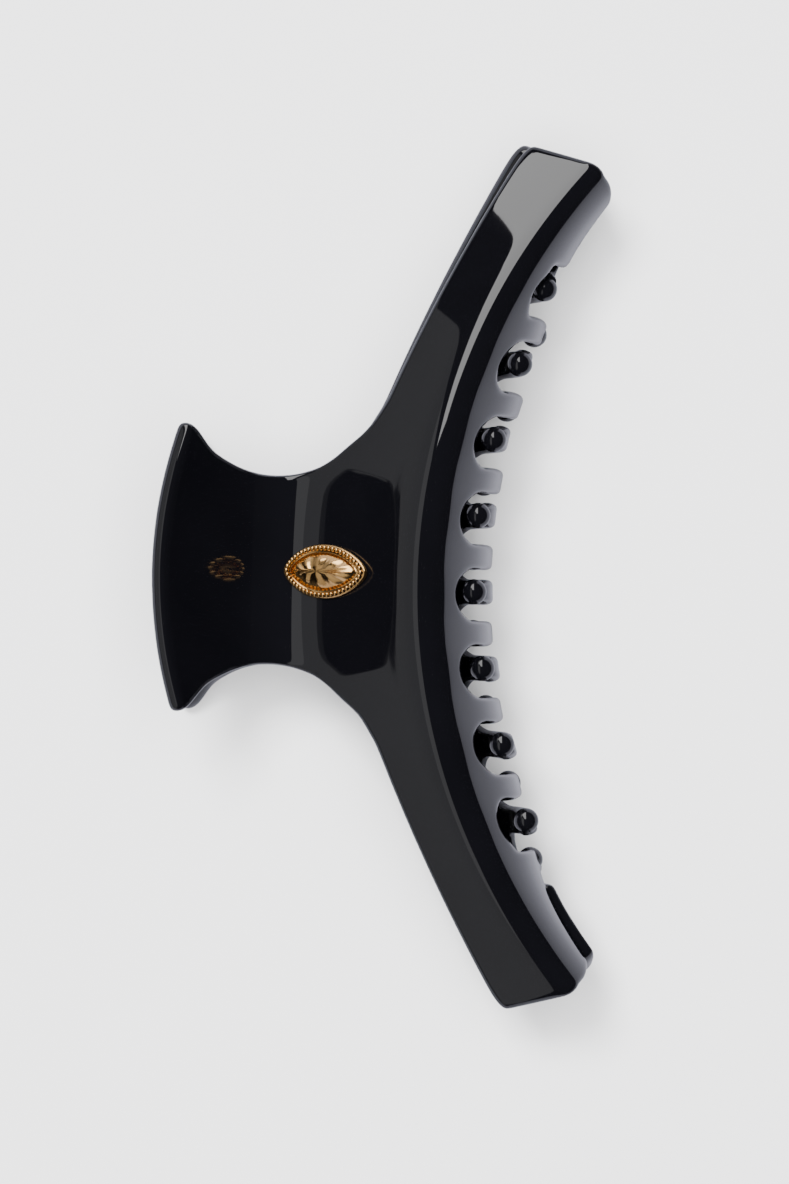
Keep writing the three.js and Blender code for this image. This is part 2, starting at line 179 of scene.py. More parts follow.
@dataclass(frozen=True)
class JawSurface:
    """The outer surface of a jaw as formulas, from the finger tab to the tooth tips.

    Lengths are in millimetres: x runs from the tab to the teeth, y along the clip, and z up
    from the level of the pin.
    """

    half_height: float = 20.0
    ridge_arc: float = 93.0
    ridge_x: float = 21.6
    ridge_fall: float = 350.0
    ridge_round: float = 4.5
    rise: float = math.radians(43.5)
    roll: float = math.radians(52)
    reach_middle: float = 7.4
    reach_end: float = 4.6
    reach_fade: Point = (28.0, 52.0)
    upright_z: float = -5.0
    steepness_limit: float = 0.48
    rim_height: float = 0.2
    valley_x: float = -2.4
    valley_z: float = 6.3
    valley_softness: float = 6.8
    tab_slope: float = 1.15
    plate_slope: float = 1.05
    fall_fade: Point = (1.0, 0.4)        # share of the plate over which the fall sets in: middle, arms
    fade_y: float = 40.0
    crown: float = 0.12                  # the arms bulge by this much across their ends
    crown_y: Point = (35.0, 60.0)
    crown_width: float = 8.0
    dish: float = 1.5                    # the tab curls up by this much at dish_y, near its end
    dish_x: Point = (-6.0, -18.0)
    dish_y: float = 18.0
    curl: float = 14.0
    tip_z: float = -12.0
    tip_lift: float = 1.2
    outermost_y: float = 45.0

    def ridge_at(self, y: float) -> float:
        """Finds the ridge's 45 degree line in plan.

        Args:
            y: place along the clip.
        Returns:
            Its x.
        """
        return self.ridge_x + self.ridge_arc - math.sqrt(self.ridge_arc ** 2 - y * y)

    def ridge_top(self, y: float) -> float:
        """Finds the ridge's height.

        Args:
            y: place along the clip.
        Returns:
            Its height.
        """
        return self.half_height - y * y / self.ridge_fall

    def ridge_top_x(self, y: float) -> float:
        """Finds where the ridge is highest.

        Args:
            y: place along the clip.
        Returns:
            Its x.
        """
        return self.ridge_at(y) - self.ridge_round * math.sqrt(0.5)

    def rise_at(self, y: float) -> float:
        """Finds the plate's slope where it runs into the ridge: the arms are flatter.

        Args:
            y: place along the clip.
        Returns:
            The slope angle.
        """
        middle = self.ridge_top_x(0) - self.ridge_round * math.sin(self.rise) - self.valley_x
        here = self.ridge_top_x(y) - self.ridge_round * math.sin(self.rise) - self.valley_x
        return math.atan(math.tan(self.rise) * middle / here)

    def plate_end(self, y: float) -> float:
        """Finds where the plate runs into the ridge.

        Args:
            y: place along the clip.
        Returns:
            Its x.
        """
        return self.ridge_top_x(y) - self.ridge_round * math.sin(self.rise_at(y))

    def middle_height(self, x: float) -> float:
        """Finds the height of the tab, dip and plate along the middle.

        Args:
            x: place across the clip.
        Returns:
            The height.
        """
        lean = (self.plate_slope - self.tab_slope) / 2
        turn = (self.plate_slope + self.tab_slope) / 2
        away = x - self.valley_x
        dip = math.hypot(away, self.valley_softness) - self.valley_softness
        return self.valley_z + lean * away + turn * dip

    def plate(self, x: float, y: float) -> Vector:
        """Finds a point on the tab, dip or plate.

        Args:
            x: place across the clip.
            y: place along the clip.
        Returns:
            The point.
        """
        length = self.plate_end(y) - self.valley_x
        stretch = (self.plate_end(0) - self.valley_x) / length if x > self.valley_x else 1.0
        share = (x - self.valley_x) / length
        arrival = self.ridge_top(0) - self.ridge_round * (1 - math.cos(self.rise_at(y)))
        join_error = arrival - self.middle_height(self.plate_end(0))
        fade = lerp(*self.fall_fade, smooth(abs(y) / self.fade_y))
        fall = y * y / self.ridge_fall * smooth(share / fade)
        level = self.middle_height(self.valley_x + (x - self.valley_x) * stretch)
        inwards = (self.plate_end(y) - x) / self.crown_width
        grown = smooth((abs(y) - self.crown_y[0]) / (self.crown_y[1] - self.crown_y[0]))
        bulge = self.crown * grown * 4 * inwards * (1 - inwards)
        curled = smooth((x - self.dish_x[0]) / (self.dish_x[1] - self.dish_x[0]))
        bulge += self.dish * curled * (y / self.dish_y) ** 2
        return Vector((x, y, level + join_error * clamp01(share) - fall + bulge))

    def ridge(self, turn: float, y: float) -> Vector:
        """Finds a point on the rounded ridge.

        Args:
            turn: slope angle there.
            y: place along the clip.
        Returns:
            The point.
        """
        x = self.ridge_top_x(y) + self.ridge_round * math.sin(turn)
        return Vector((x, y, self.ridge_top(y) - self.ridge_round * (1 - math.cos(turn))))

    def flange_ellipse(self, y: float) -> Tuple[float, float, float, float]:
        """Finds the ellipse that the flange follows.

        Args:
            y: place along the clip.
        Returns:
            Its start in x, its start angle and its two half axes.
        """
        fade = smooth((abs(y) - self.reach_fade[0]) / (self.reach_fade[1] - self.reach_fade[0]))
        start_x = self.ridge_top_x(y) + self.ridge_round * math.sin(self.roll)
        reach = self.ridge_at(y) + lerp(self.reach_middle, self.reach_end, fade) - start_x
        height = self.ridge(self.roll, y).z - self.upright_z
        slope = math.tan(self.roll)
        steepness = min(slope * reach / height, self.steepness_limit)
        tangent = steepness / math.sqrt(1 - 2 * steepness)
        start = math.atan(tangent)
        half_z = height / math.cos(start)
        return start_x, start, half_z * tangent / slope, half_z

    def flange(self, share: float, y: float) -> Vector:
        """Finds a point on the flange.

        Args:
            share: 0 at the ridge, 1 where it stands upright.
            y: place along the clip.
        Returns:
            The point.
        """
        start_x, start, half_x, half_z = self.flange_ellipse(y)
        angle = lerp(start, math.pi / 2, share)
        x = start_x + half_x * (math.sin(angle) - math.sin(start))
        return Vector((x, y, self.upright_z + half_z * math.cos(angle)))

    def rim_share(self, y: float) -> float:
        """Finds where the flange's rim lies.

        Args:
            y: place along the clip.
        Returns:
            The flange share at the rim's height.
        """
        _, start, _, half_z = self.flange_ellipse(y)
        angle = math.acos((self.rim_height - self.upright_z) / half_z)
        return (angle - start) / (math.pi / 2 - start)

    def tooth(self, share: float, y: float) -> Vector:
        """Finds a point on a tooth's inward curl.

        Args:
            share: 0 at its upright part, 1 at its tip.
            y: place along the clip.
        Returns:
            The point.
        """
        tip = self.tip_z + self.tip_lift * min(y * y, self.outermost_y ** 2) / self.ridge_fall
        angle = share * math.asin((self.upright_z - tip) / self.curl)
        x = self.flange(1, y).x - self.curl * (1 - math.cos(angle))
        return Vector((x, y, self.upright_z - self.curl * math.sin(angle)))


@dataclass(frozen=True)
class JawOutline:
    """The jaw's plan outline."""

    split_x: float = 2.0                 # the tab's patch meets the plate's patch here
    tab_end_x: float = -20.1
    tab_end_round: float = 66.0
    neck_round: float = 12.9
    neck_x: float = -3.8
    neck_y: float = 27.0
    neck_leave: float = math.radians(41)  # the neck's arc ends here, and the shoulder begins
    neck_steps: int = 8
    tab_sides: Tuple[Point, ...] = (
        (-12.8, 18.3), (-14.4, 20.3), (-15.6, 21.2), (-16.6, 21.4), (-18.0, 20.6))
    shoulder: Point = (9.2, 21.3)
    arm_start: Point = (11.9, 25.7)
    arm_lean: float = 0.42
    arm_bow: float = 0.0021
    arm_corner_y: float = 64.2
    arm_steps: int = 12
    arm_end: Point = (32.9, 65.1)
    last_row_y: float = 62.7             # where the arm's end meets the ridge
    end_slant: float = 6.2               # the arm's end runs back by this much down the flange

    def half_width(self, x: float) -> float:
        """Finds the half width of the neck or tab.

        Args:
            x: place across the clip.
        Returns:
            The half width.
        """
        if x > self.tab_sides[0][0]:
            return self.neck_y - math.sqrt(self.neck_round ** 2 - (x - self.neck_x) ** 2)
        for (xa, ya), (xb, yb) in zip(self.tab_sides, self.tab_sides[1:]):
            if x >= xb:
                return lerp(ya, yb, (x - xa) / (xb - xa))
        return self.tab_sides[-1][1]

    def rear(self, share: float) -> Point:
        """Finds a point on the plate's rear edge.

        Args:
            share: 0 at the neck, 1 at the arm's end.
        Returns:
            The point, for the half with y above 0.
        """
        begin = math.acos((self.split_x - self.neck_x) / self.neck_round)
        points: List[Point] = []
        for i in range(self.neck_steps + 1):
            angle = lerp(begin, self.neck_leave, i / self.neck_steps)
            x = self.neck_x + self.neck_round * math.cos(angle)
            points.append((x, self.neck_y - self.neck_round * math.sin(angle)))
        points.append(self.shoulder)
        for i in range(self.arm_steps + 1):
            y = lerp(self.arm_start[1], self.arm_corner_y, i / self.arm_steps)
            away = y - self.arm_start[1]
            points.append((self.arm_start[0] + self.arm_lean * away + self.arm_bow * away * away, y))
        points.append(self.arm_end)
        return along_path(points, share)


class Zone(Enum):
    """What a row of the jaw's mesh runs through below the ridge."""

    TOOTH = "tooth"
    EDGE = "edge of a tooth"
    NOTCH = "notch"
    END = "toothless end"


@dataclass(frozen=True)
class Row:
    """One line of the jaw's mesh, from the rear edge to the flange or a tooth tip."""

    y: float
    zone: Zone
    across: float = 0.0       # place across a notch or tooth, -1..1


def link(made: bpy.types.Object) -> bpy.types.Object:
    """Adds an object to the scene.

    Args:
        made: the object.
    Returns:
        The same object.
    """
    bpy.context.scene.collection.objects.link(made)
    return made


def bmesh_object(name: str, mesh: bmesh.types.BMesh, place: Matrix) -> bpy.types.Object:
    """Turns a finished bmesh into an object that stands at the frame's origin.

    Args:
        name: the object's name.
        mesh: the geometry, which is freed.
        place: from the geometry's own units to the frame.
    Returns:
        The linked object.
    """
    bmesh.ops.transform(mesh, matrix=place, verts=mesh.verts)
    data = bpy.data.meshes.new(name)
    mesh.to_mesh(data)
    mesh.free()
    for polygon in data.polygons:
        polygon.use_smooth = True
    return link(bpy.data.objects.new(name, data))


def subdivide(piece: bpy.types.Object, levels: int) -> None:
    """Rounds a piece with a subdivision surface.

    Args:
        piece: the object.
        levels: how often each face is divided.
    """
    modifier = piece.modifiers.new("rounding", "SUBSURF")
    modifier.levels = levels
    modifier.render_levels = levels


@dataclass
class JawShell:
    """The moulded sheet of one jaw: tab, neck, plate, arms, flange and teeth."""

    surface: JawSurface
    outline: JawOutline
    rows: List[Row] = field(default_factory=list)
    upper_split: int = 0
    lower_split: int = 0

    NOTCH_LINES = (-0.72, -0.26, 0.26, 0.72)
    TOOTH_LINES = (-1.0, -0.36, 0.36, 1.0)
    PLATE_SHARES = (0.24, 0.43, 0.62, 0.81, 1.0)
    EDGE_SUPPORT = 1.15
    RIDGE_STEPS = 6
    FLANGE_SHARES = (0.215, 0.43, 0.6, 0.78, 0.92, 1.0)
    NOTCH_COLUMN = 1              # index in FLANGE_SHARES of the notches' bottom
    NOTCH_START = 2.1
    NOTCH_ROUND = 3.0
    CURL_STEPS = 3
    NECKING = 0.62                # the teeth narrow to this share of their width at the tip
    END_ROWS = (0.16, 0.33, 0.5, 0.67, 0.82, 0.93)
    TAB_TOP_Y = 12.0              # the tab's patch runs between the first rows past these
    TAB_BOTTOM_Y = -10.0
    SLANT_CURVE = 1.3             # the toothless ends run back faster towards the rim
    MERGE = 1e-3                  # points closer than this become one
    ROUNDING = 2                  # levels of subdivision
    TAB_COLUMNS = (2.0, -0.8, -3.4, -6.0, -8.8, -11.6, -14.3, -16.8, -18.9, -20.1)
    END_BOW_FROM = -8.0

    def __post_init__(self) -> None:
        """Lists the rows from the lower arm's end to the upper arm's end."""
        half = TOOTH_WIDTH / 2
        first = FIRST_TOOTH_Y - half
        last = FIRST_TOOTH_Y + TOOTH_COUNT * TOOTH_PITCH - half
        end = self.outline.last_row_y
        self.rows.append(Row(-end, Zone.END))
        for share in reversed(self.END_ROWS):
            self.rows.append(Row(lerp(first, -end, share), Zone.END))
        for index in range(TOOTH_COUNT):
            centre = FIRST_TOOTH_Y + index * TOOTH_PITCH
            for line in self.TOOTH_LINES:
                zone = Zone.EDGE if abs(line) == 1 else Zone.TOOTH
                self.rows.append(Row(centre + line * half, zone, line))
            notch_centre = centre + TOOTH_PITCH / 2
            for line in self.NOTCH_LINES:
                self.rows.append(Row(notch_centre + line * (TOOTH_PITCH / 2 - half), Zone.NOTCH, line))
        self.rows.append(Row(last, Zone.EDGE, -1.0))
        for share in self.END_ROWS:
            self.rows.append(Row(lerp(last, end, share), Zone.END))
        self.rows.append(Row(end, Zone.END))
        self.upper_split = min(i for i, row in enumerate(self.rows) if row.y > self.TAB_TOP_Y)
        self.lower_split = max(i for i, row in enumerate(self.rows) if row.y < self.TAB_BOTTOM_Y)

    def rear_point(self, index: int) -> Point:
        """Finds where a row starts.

        Args:
            index: the row's number.
        Returns:
            The plan point on the rear edge, or on the line where the tab's patch begins.
        """
        split_half = self.outline.half_width(self.outline.split_x)
        if self.lower_split <= index <= self.upper_split:
            return (self.outline.split_x, self.tab_line(index) * split_half)
        row = self.rows[index]
        border = self.rows[self.upper_split if row.y > 0 else self.lower_split].y
        share = (row.y - border) / (math.copysign(self.outline.last_row_y, row.y) - border)
        x, y = self.outline.rear(share)
        return (x, math.copysign(y, row.y))

    def tab_line(self, index: int) -> float:
        """Finds a row's place across the tab, with a row kept close to each side.

        Args:
            index: the row's number.
        Returns:
            The place, -1..1.
        """
        low = self.rows[self.lower_split].y
        high = self.rows[self.upper_split].y
        line = lerp(-1, 1, (self.rows[index].y - low) / (high - low))
        support = 1 - self.EDGE_SUPPORT / self.outline.half_width(self.outline.split_x)
        if index == self.lower_split + 1:
            return -support
        if index == self.upper_split - 1:
            return support
        return line

    def row_points(self, index: int) -> List[Vector]:
        """Lists one row's points.

        Args:
            index: the row's number.
        Returns:
            Points from the rear edge to the tooth tip.
        """
        row = self.rows[index]
        surface = self.surface
        rear = Vector((*self.rear_point(index), 0))
        front = Vector((surface.plate_end(row.y), row.y, 0))
        near = self.EDGE_SUPPORT / (front - rear).length
        points = []
        for share in (0.0, near, *self.PLATE_SHARES):
            plan = rear.lerp(front, share)
            points.append(surface.plate(plan.x, plan.y))
        columns = self.RIDGE_STEPS + len(self.FLANGE_SHARES)
        for step in range(1, self.RIDGE_STEPS + 1):
            y = self.slanted(row.y, step / columns)
            turn = lerp(-surface.rise_at(y), surface.roll, step / self.RIDGE_STEPS)
            points.append(surface.ridge(turn, y))
        for number, share in enumerate(self.FLANGE_SHARES):
            y = self.slanted(row.y, (self.RIDGE_STEPS + 1 + number) / columns)
            part = share * surface.rim_share(y)
            if row.zone is Zone.NOTCH and number <= self.NOTCH_COLUMN:
                part = self.notch_share(row) * share / self.FLANGE_SHARES[self.NOTCH_COLUMN]
            points.append(surface.flange(part, y))
        points.append(surface.flange(1, row.y))
        for step in range(1, self.CURL_STEPS + 1):
            point = surface.tooth(step / self.CURL_STEPS, row.y)
            narrowing = lerp(1, self.NECKING, smooth(step / self.CURL_STEPS))
            if row.zone in (Zone.EDGE, Zone.TOOTH):
                point.y -= row.across * (1 - narrowing) * TOOTH_WIDTH / 2
            points.append(point)
        return points

    def notch_share(self, row: Row) -> float:
        """Finds how far down the flange a notch's round bottom lies.

        Args:
            row: a row inside the notch.
        Returns:
            The flange share.
        """
        past = self.NOTCH_START + self.NOTCH_ROUND * (1 - math.sqrt(1 - row.across ** 2))
        start_x, start, half_x, _ = self.surface.flange_ellipse(row.y)
        run = self.surface.ridge_at(row.y) + past - start_x
        angle = math.asin(math.sin(start) + run / half_x)
        return (angle - start) / (math.pi / 2 - start)

    def slanted(self, y: float, share: float) -> float:
        """Moves a toothless end's points back towards the middle down the flange.

        Args:
            y: the row's place at the ridge.
            share: 0 at the ridge's start, 1 at the rim.
        Returns:
            The moved place.
        """
        half = TOOTH_WIDTH / 2
        border = FIRST_TOOTH_Y + TOOTH_COUNT * TOOTH_PITCH - half if y > 0 else half - FIRST_TOOTH_Y
        into = clamp01((abs(y) - border) / (self.outline.last_row_y - border))
        return y - math.copysign(self.outline.end_slant * into * share ** self.SLANT_CURVE, y)

    def sheet(self, mesh: bmesh.types.BMesh, columns: int, lines: int,
              place: Callable[[int, int], Vector]) -> List[bmesh.types.BMVert]:
        """Adds a grid and moves each of its points.

        Args:
            mesh: where it is added.
            columns: number of points across.
            lines: number of points along.
            place: gives the point for a column and a line.
        Returns:
            The grid's vertices.
        """
        made = bmesh.ops.create_grid(mesh, x_segments=columns - 1, y_segments=lines - 1, size=1)
        for vert in made["verts"]:
            column = round((vert.co.x + 1) / 2 * (columns - 1))
            line = round((vert.co.y + 1) / 2 * (lines - 1))
            vert.co = place(column, line)
        return made["verts"]

    def build(self, name: str, place: Matrix) -> bpy.types.Object:
        """Makes the sheet, with thickness and rounded edges.

        Args:
            name: the object's name.
            place: from the jaw's millimetres to the frame.
        Returns:
            The object.
        """
        mesh = bmesh.new()
        table = [self.row_points(i) for i in range(len(self.rows))]
        columns = len(table[0])
        removable = mesh.faces.layers.int.new("removable")
        self.sheet(mesh, columns, len(table), lambda column, line: table[line][column])
        rim_column = columns - 1 - self.CURL_STEPS - 1
        notch_column = rim_column - len(self.FLANGE_SHARES) + 1 + self.NOTCH_COLUMN
        self.cut(mesh, table, removable, rim_column, notch_column)
        tab_lines = self.upper_split - self.lower_split + 1
        self.sheet(mesh, len(self.TAB_COLUMNS), tab_lines, self.tab_point)
        bmesh.ops.remove_doubles(mesh, verts=mesh.verts, dist=self.MERGE)
        loose = [v for v in mesh.verts if not v.link_faces]
        bmesh.ops.delete(mesh, geom=loose, context="VERTS")
        bmesh.ops.recalc_face_normals(mesh, faces=mesh.faces)
        if sum(face.normal.z * face.calc_area() for face in mesh.faces) < 0:
            bmesh.ops.reverse_faces(mesh, faces=mesh.faces)
        shell = bmesh_object(name, mesh, place)
        thickness = shell.modifiers.new("wall", "SOLIDIFY")
        thickness.thickness = WALL * place.to_scale().x
        thickness.offset = -1
        thickness.use_even_offset = True
        thickness.use_quality_normals = True
        subdivide(shell, self.ROUNDING)
        return shell

    def cut(self, mesh: bmesh.types.BMesh, table: List[List[Vector]],
            layer: bmesh.types.BMLayerItem, rim_column: int, notch_column: int) -> None:
        """Removes what isn't there between the teeth and below the toothless ends.

        Args:
            mesh: the plate's patch.
            table: the rows' points, as laid out.
            layer: marks the faces to remove.
            rim_column: column of the toothless ends' rim.
            notch_column: column of the notches' bottom.
        """
        places = {}
        for line, points in enumerate(table):
            for column, point in enumerate(points):
                places[tuple(round(c, 4) for c in point)] = (line, column)
        for face in mesh.faces:
            cells = [places[tuple(round(c, 4) for c in v.co)] for v in face.verts]
            line = min(cell[0] for cell in cells)
            column = min(cell[1] for cell in cells)
            zones = {self.rows[line].zone, self.rows[line + 1].zone}
            in_notch = Zone.NOTCH in zones
            at_end = Zone.END in zones
            if (in_notch and column >= notch_column) or (at_end and column >= rim_column):
                face[layer] = 1
        doomed = [face for face in mesh.faces if face[layer]]
        bmesh.ops.delete(mesh, geom=doomed, context="FACES")

    def tab_point(self, column: int, line: int) -> Vector:
        """Finds a point on the tab's patch.

        Args:
            column: number from the plate towards the tab's end.
            line: number across the tab.
        Returns:
            The point.
        """
        outline = self.outline
        across = self.tab_line(self.lower_split + line)
        base = self.TAB_COLUMNS[column]
        bowed = smooth((self.END_BOW_FROM - base) / (self.END_BOW_FROM - outline.tab_end_x))

        def bow(y: float) -> float:
            """Finds how far the tab's end curves back.

            Args:
                y: place along the clip.
            Returns:
                The distance.
            """
            return outline.tab_end_round - math.sqrt(outline.tab_end_round ** 2 - y * y)

        side_x = base + bow(outline.half_width(base)) * bowed
        width = outline.half_width(side_x)
        y = across * width
        return self.surface.plate(base + bow(y) * bowed, y)


# ---- finishes ----
def colour(code: str) -> Tuple[float, float, float, float]:
    """Turns an sRGB hex colour into the linear values that a shader takes.

    Args:
        code: six hex digits after a #.
    Returns:
        Red, green, blue and alpha.
    """
    parts = [int(code[i:i + 2], 16) / 255 for i in (1, 3, 5)]
    linear = [p / 12.92 if p <= 0.04045 else ((p + 0.055) / 1.055) ** 2.4 for p in parts]
    return (*linear, 1.0)


def add_node(tree: bpy.types.NodeTree, kind: str, settings: Dict[str, object],
             links: Dict[str, bpy.types.NodeSocket]) -> bpy.types.Node:
    """Adds a node, sets its values and joins its inputs.

    Args:
        tree: the material's nodes.
        kind: the node's type.
        settings: values for its inputs or properties, by name.
        links: outputs that feed its inputs, by name.
    Returns:
        The node.
    """
    node = tree.nodes.new(kind)
    for name, value in settings.items():
        if name in node.inputs:
            node.inputs[name].default_value = value
        else:
            setattr(node, name, value)
    for name, source in links.items():
        tree.links.new(source, node.inputs[name])
    return node


@dataclass(frozen=True)
class Finish:
    """A real material and its surface."""

    name: str
    slot: str
    shade: str                 # main colour
    second: str                # the colour it varies to
    roughness: Point           # smoothest and roughest
    metallic: float
    patch_mm: float            # size of the colour's and gloss's variation
    grain_mm: float            # size of the surface's grain
    grain_depth_um: float      # its depth
    ior: float = 1.5
    shine: float = 0.5         # level of the surface's own highlights

    PER_METRE = 1000.0

    def build(self) -> bpy.types.Material:
        """Makes the material.

        Returns:
            The material.
        """
        made = bpy.data.materials.new(self.name)
        made.use_nodes = True
        tree = made.node_tree
        tree.nodes.clear()
        place = add_node(tree, "ShaderNodeTexCoord", {}, {})
        patches = add_node(tree, "ShaderNodeTexNoise",
                           {"Scale": self.PER_METRE / self.patch_mm, "Detail": 3.0, "Roughness": 0.55},
                           {"Vector": place.outputs["Object"]})
        grain = add_node(tree, "ShaderNodeTexNoise",
                         {"Scale": self.PER_METRE / self.grain_mm, "Detail": 2.0},
                         {"Vector": place.outputs["Object"]})
        tint = add_node(tree, "ShaderNodeMix", {"data_type": "RGBA"},
                        {"Factor": patches.outputs["Fac"]})
        tint.inputs[6].default_value = colour(self.shade)
        tint.inputs[7].default_value = colour(self.second)
        gloss = add_node(tree, "ShaderNodeMapRange",
                         {"From Min": 0.3, "From Max": 0.7,
                          "To Min": self.roughness[0], "To Max": self.roughness[1]},
                         {"Value": patches.outputs["Fac"]})
        bump = add_node(tree, "ShaderNodeBump",
                        {"Strength": 1.0, "Distance": self.grain_depth_um * 1e-6},
                        {"Height": grain.outputs["Fac"]})
        settings: Dict[str, object] = {"Metallic": self.metallic}
        if not self.metallic:
            settings["IOR"] = self.ior
            settings["Specular IOR Level"] = self.shine
        shader = add_node(tree, "ShaderNodeBsdfPrincipled", settings,
                          {"Base Color": tint.outputs[2], "Roughness": gloss.outputs["Result"],
                           "Normal": bump.outputs["Normal"]})
        add_node(tree, "ShaderNodeOutputMaterial", {}, {"Surface": shader.outputs["BSDF"]})
        return made


# Injection-moulded plastic, black with a faint cool cast, polished.
MOULDED_PLASTIC = Finish("polished_black_plastic", "jaws", "#050507", "#08080b",
                         (0.02, 0.04), 0.0, 9.0, 0.9, 0.4, 1.52)
# Cast zinc alloy, plated with pale gold and polished.
PLATED_GOLD = Finish("pale_gold_plated_casting", "ornament", "#e0b77c", "#c99a5c",
                     (0.14, 0.26), 1.0, 2.5, 0.25, 3.0)
# Drawn steel rod with riveted heads.
DRAWN_STEEL = Finish("drawn_steel_rod", "pin", "#b9babd", "#9fa1a5", (0.24, 0.38), 1.0, 3.0, 0.2, 2.0)
# Hard-drawn spring wire with a light oil film.
SPRING_WIRE = Finish("hard_drawn_spring_wire", "spring", "#8e9094", "#74767b",
                     (0.3, 0.44), 1.0, 2.0, 0.15, 2.5)

# Matt white paper under the clip, and a copy of the same paper that only reflections see: painted shade,
# darker and with a cool lilac tint, standing in for the floor's reflection.
MATT_PAPER = Finish("matt_white_paper", "", "#ececed", "#eaeaeb",
                    (0.85, 0.95), 0.0, 40.0, 0.6, 4.0, shine=0.0)
# Painted shade: the floor's reflection is painted darker and cool-tinted in these colours.
PAINTED_SHADE_PAPER = Finish("painted_shade_white_paper", "", "#92929c", "#90909a",
                      (0.85, 0.95), 0.0, 40.0, 0.6, 4.0, shine=0.0)


def dress(piece: bpy.types.Object, material: bpy.types.Material, body: str) -> None:
    """Gives a piece its material and the body it rides on.

    Args:
        piece: the object.
        material: the built material.
        body: the CAD body's name.
    """
    piece.data.materials.clear()
    piece.data.materials.append(material)
    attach(piece, body)


@dataclass
class ToothTips:
    """The balls on the ends of a jaw's teeth."""

    surface: JawSurface
    radius: float = 1.9
    sides: int = 32
    rings: int = 20
    just_before: float = 0.98             # share of the curl that shows which way the tip points

    def build(self, name: str, place: Matrix) -> bpy.types.Object:
        """Makes the balls.

        Args:
            name: the object's name.
            place: from the jaw's millimetres to the frame.
        Returns:
            The object.
        """
        mesh = bmesh.new()
        for index in range(TOOTH_COUNT):
            y = FIRST_TOOTH_Y + index * TOOTH_PITCH
            end = self.surface.tooth(1, y)
            before = self.surface.tooth(self.just_before, y)
            along = (end - before).normalized()
            inwards = Vector((along.z, 0, -along.x))
            centre = end + inwards * (WALL / 2)
            bmesh.ops.create_uvsphere(mesh, u_segments=self.sides, v_segments=self.rings,
                                      radius=self.radius, matrix=Matrix.Translation(centre))
        return bmesh_object(name, mesh, place)


@dataclass
class HingeLugs:
    """The two bored lugs under a jaw's neck."""

    radius: float = 2.7
    bore: float = 1.2
    top: float = 5.4
    spans: Tuple[Point, ...] = ((8.6, 12.4), (-7.9, -5.3))
    bevel: float = 0.25
    sides: int = 40
    level_limit: float = 0.01             # a barrel's points above this height run up to its top
    sharp: float = math.radians(60)       # edges that turn more than this are bevelled

    def build(self, name: str, place: Matrix) -> bpy.types.Object:
        """Makes the lugs.

        Args:
            name: the object's name.
            place: from the jaw's millimetres to the frame.
        Returns:
            The object.
        """
        mesh = bmesh.new()
        for span in self.spans:
            self.lug(mesh, span)
        return bmesh_object(name, mesh, place)

    def lug(self, mesh: bmesh.types.BMesh, span: Point) -> None:
        """Adds one lug: a bored barrel whose upper half runs up into the plate.

        Args:
            mesh: where it is added.
            span: its two ends along the pin.
        """
        upright = Matrix.Translation((PIN_X, span[0], 0)) @ Matrix.Rotation(math.pi / 2, 4, "X")
        outer, inner = (bmesh.ops.create_circle(mesh, segments=self.sides, radius=radius,
                                                matrix=upright)["verts"]
                        for radius in (self.radius, self.bore))
        for vert in outer:
            if vert.co.z > self.level_limit:
                vert.co.z = self.top
        rings = {edge for vert in [*outer, *inner] for edge in vert.link_edges}
        ring = bmesh.ops.bridge_loops(mesh, edges=list(rings))["faces"]
        grown = bmesh.ops.extrude_face_region(mesh, geom=ring)["geom"]
        moved = [item for item in grown if isinstance(item, bmesh.types.BMVert)]
        bmesh.ops.translate(mesh, verts=moved, vec=(0, span[1] - span[0], 0))
        everything = {face for vert in [*outer, *inner, *moved] for face in vert.link_faces}
        bmesh.ops.recalc_face_normals(mesh, faces=list(everything))
        sharp = [edge for face in everything for edge in face.edges
                 if edge.is_manifold and edge.calc_face_angle(0) > self.sharp]
        bmesh.ops.bevel(mesh, geom=list(set(sharp)), offset=self.bevel, segments=2, profile=0.5,
                        affect="EDGES", material=-1)


@dataclass
class HingePin:
    """The riveted pin through the lugs."""

    radius: float = 0.9
    half_length: float = 13.3
    head_radius: float = 1.7
    head_height: float = 0.8
    sides: int = 40
    head_steps: int = 6
    shoulder: Point = (0.1, 0.15)         # the shank widens by the first over the second, under a head

    def build(self, name: str, place: Matrix) -> bpy.types.Object:
        """Makes the pin by turning its profile.

        Args:
            name: the object's name.
            place: from the clip's millimetres to the frame.
        Returns:
            The object.
        """
        half = []
        for step in range(self.head_steps + 1):
            angle = math.pi / 2 * step / self.head_steps
            half.append((self.head_radius * math.sin(angle),
                         self.half_length + self.head_height * math.cos(angle)))
        half.append((self.radius + self.shoulder[0], self.half_length))
        half.append((self.radius, self.half_length - self.shoulder[1]))
        profile = half + [(r, -y) for r, y in reversed(half)]
        mesh = bmesh.new()
        verts = [mesh.verts.new((PIN_X + r, y, 0)) for r, y in profile]
        edges = [mesh.edges.new(pair) for pair in zip(verts, verts[1:])]
        bmesh.ops.spin(mesh, geom=[*verts, *edges], cent=(PIN_X, 0, 0), axis=(0, 1, 0),
                       angle=2 * math.pi, steps=self.sides, use_merge=True)
        bmesh.ops.remove_doubles(mesh, verts=mesh.verts, dist=1e-4)
        bmesh.ops.recalc_face_normals(mesh, faces=mesh.faces)
        return bmesh_object(name, mesh, place)


